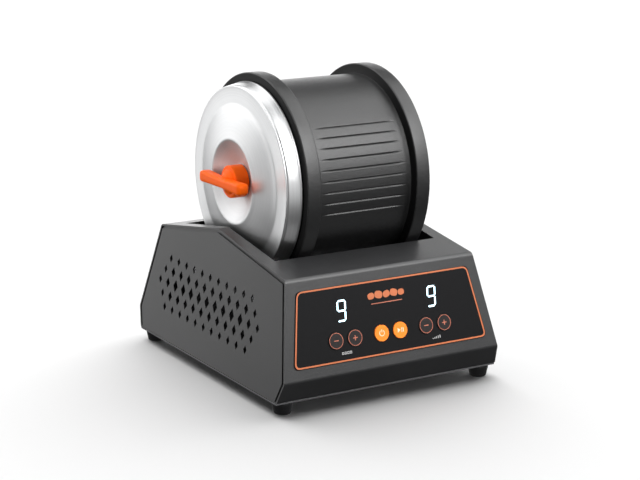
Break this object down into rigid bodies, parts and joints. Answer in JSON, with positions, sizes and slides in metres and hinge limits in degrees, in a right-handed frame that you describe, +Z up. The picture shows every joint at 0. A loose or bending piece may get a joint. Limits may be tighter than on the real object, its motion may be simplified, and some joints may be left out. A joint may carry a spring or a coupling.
{
  "type": "rotary rock tumbler",
  "caption": "Rotary rock tumbler: a tapered sheet-metal base with a sloped control panel, and a barrel with a clamped steel lid lying on powered rollers.",
  "frame": {"origin": "centre of the footprint, on the surface that the feet stand on", "axes": "+X to the right seen from the control panel and along the barrel, with the lid at the -X end; +Y to the back; +Z up"},
  "size_m": [0.1728, 0.2108, 0.2048],
  "materials": {
    "charcoal_paint": "fine satin powder coat",
    "floor_paint": "pale zinc-grey coat",
    "foot_rubber": "smooth",
    "zinc_steel": "zinc plated",
    "bracket_steel": "galvanised sheet",
    "bush_bronze": "sintered",
    "gearbox_metal": "cast",
    "motor_steel": "satin",
    "overlay_plastic": "smoked, satin gloss",
    "trim_orange": "printed border",
    "print_white": "printed marks",
    "digit_glow": "lit display segments",
    "board_green": "solder mask",
    "display_glass": "smoked",
    "black_plastic": "moulded",
    "red_lead": "sleeved pair",
    "black_lead": "sleeved pair",
    "shaft_steel": "ground",
    "roller_rubber": "smooth",
    "gear_nylon": "moulded",
    "pinion_brass": "machined",
    "drum_rubber": "satin moulded",
    "lid_steel": "pressed and brushed",
    "seal_rubber": "smooth",
    "knob_orange": "glossy moulded",
    "button_dark": "satin",
    "button_orange": "satin"
  },
  "bodies": {
    "base": {"wrapper": "charcoal_paint", "left_side_panel": "charcoal_paint", "right_side_panel": "charcoal_paint", "floor_plate": "floor_paint", "front_left_foot": "foot_rubber", "front_right_foot": "foot_rubber", "rear_left_foot": "foot_rubber", "rear_right_foot": "foot_rubber", "foot_screws": "zinc_steel", "foot_nuts": "zinc_steel", "floor_screws": "zinc_steel", "left_bracket": "bracket_steel", "right_bracket": "bracket_steel", "bracket_screws": "zinc_steel", "roller_bushes": "bush_bronze", "gearbox": "gearbox_metal", "motor_can": "motor_steel", "motor_screws": "zinc_steel", "control_overlay": "overlay_plastic", "control_board": "board_green", "board_standoffs": "zinc_steel", "board_screws": "zinc_steel", "days_display": "display_glass", "speed_display": "display_glass", "button_switches": "black_plastic", "power_jack": "black_plastic", "jack_nut": "zinc_steel", "motor_leads": "red_lead", "power_leads": "black_lead"},
    "drive_roller": {"drive_shaft": "shaft_steel", "drive_sleeves": "roller_rubber", "drive_clip": "zinc_steel", "drive_gear": "gear_nylon"},
    "idler_roller": {"idler_shaft": "shaft_steel", "idler_sleeves": "roller_rubber", "idler_clips": "zinc_steel"},
    "motor_output": {"motor_shaft": "shaft_steel", "motor_pinion": "pinion_brass"},
    "barrel": {"barrel_drum": "drum_rubber"},
    "lid": {"outer_lid": "lid_steel", "lid_seal": "seal_rubber", "inner_plate": "lid_steel", "lid_stud": "shaft_steel"},
    "washer": {"knob_washer": "zinc_steel"},
    "knob": {"wing_knob": "knob_orange", "knob_insert": "pinion_brass"},
    "days_minus_button": {"days_minus_button": "button_dark"},
    "days_plus_button": {"days_plus_button": "button_dark"},
    "power_button": {"power_button": "button_orange"},
    "play_pause_button": {"play_pause_button": "button_orange"},
    "speed_minus_button": {"speed_minus_button": "button_dark"},
    "speed_plus_button": {"speed_plus_button": "button_dark"}
  },
  "joints": [
    {"name": "barrel_spin", "type": "hinge", "parent": "base", "child": "barrel", "pos_m": [0, 0.0072, 0.132], "axis": [1, 0, 0], "continuous": true},
    {"name": "drive_roller_spin", "type": "hinge", "parent": "base", "child": "drive_roller", "pos_m": [0, 0.0492, 0.06146], "axis": [1, 0, 0], "continuous": true},
    {"name": "idler_roller_spin", "type": "hinge", "parent": "base", "child": "idler_roller", "pos_m": [0, -0.0348, 0.06146], "axis": [1, 0, 0], "continuous": true},
    {"name": "motor_spin", "type": "hinge", "parent": "base", "child": "motor_output", "pos_m": [0.069, 0.03841, 0.03336], "axis": [1, 0, 0], "continuous": true},
    {"name": "lid_slide", "type": "slide", "parent": "barrel", "child": "lid", "axis": [-1, 0, 0], "range_m": [0, 0.0022]},
    {"name": "washer_slide", "type": "slide", "parent": "lid", "child": "washer", "axis": [-1, 0, 0], "range_m": [0, 0.0025]},
    {"name": "knob_turn", "type": "hinge", "parent": "washer", "child": "knob", "pos_m": [-0.066, 0.0072, 0.132], "axis": [-1, 0, 0], "range_deg": [0, 720]},
    {"name": "days_minus_press", "type": "slide", "parent": "base", "child": "days_minus_button", "axis": [0, 0.9632, -0.2687], "range_m": [0, 0.0006], "stiffness_N_per_m": 600, "springref_m": -0.0006},
    {"name": "days_plus_press", "type": "slide", "parent": "base", "child": "days_plus_button", "axis": [0, 0.9632, -0.2687], "range_m": [0, 0.0006], "stiffness_N_per_m": 600, "springref_m": -0.0006},
    {"name": "power_press", "type": "slide", "parent": "base", "child": "power_button", "axis": [0, 0.9632, -0.2687], "range_m": [0, 0.0006], "stiffness_N_per_m": 600, "springref_m": -0.0006},
    {"name": "play_pause_press", "type": "slide", "parent": "base", "child": "play_pause_button", "axis": [0, 0.9632, -0.2687], "range_m": [0, 0.0006], "stiffness_N_per_m": 600, "springref_m": -0.0006},
    {"name": "speed_minus_press", "type": "slide", "parent": "base", "child": "speed_minus_button", "axis": [0, 0.9632, -0.2687], "range_m": [0, 0.0006], "stiffness_N_per_m": 600, "springref_m": -0.0006},
    {"name": "speed_plus_press", "type": "slide", "parent": "base", "child": "speed_plus_button", "axis": [0, 0.9632, -0.2687], "range_m": [0, 0.0006], "stiffness_N_per_m": 600, "springref_m": -0.0006}
  ],
  "couplings": [
    {"joint": "drive_roller_spin", "follows": "barrel_spin", "ratio": -8.0889},
    {"joint": "idler_roller_spin", "follows": "barrel_spin", "ratio": -8.0889},
    {"joint": "motor_spin", "follows": "barrel_spin", "ratio": 22.244},
    {"joint": "washer_slide", "follows": "knob_turn", "m_per_rad": 0.00019894}
  ]
}
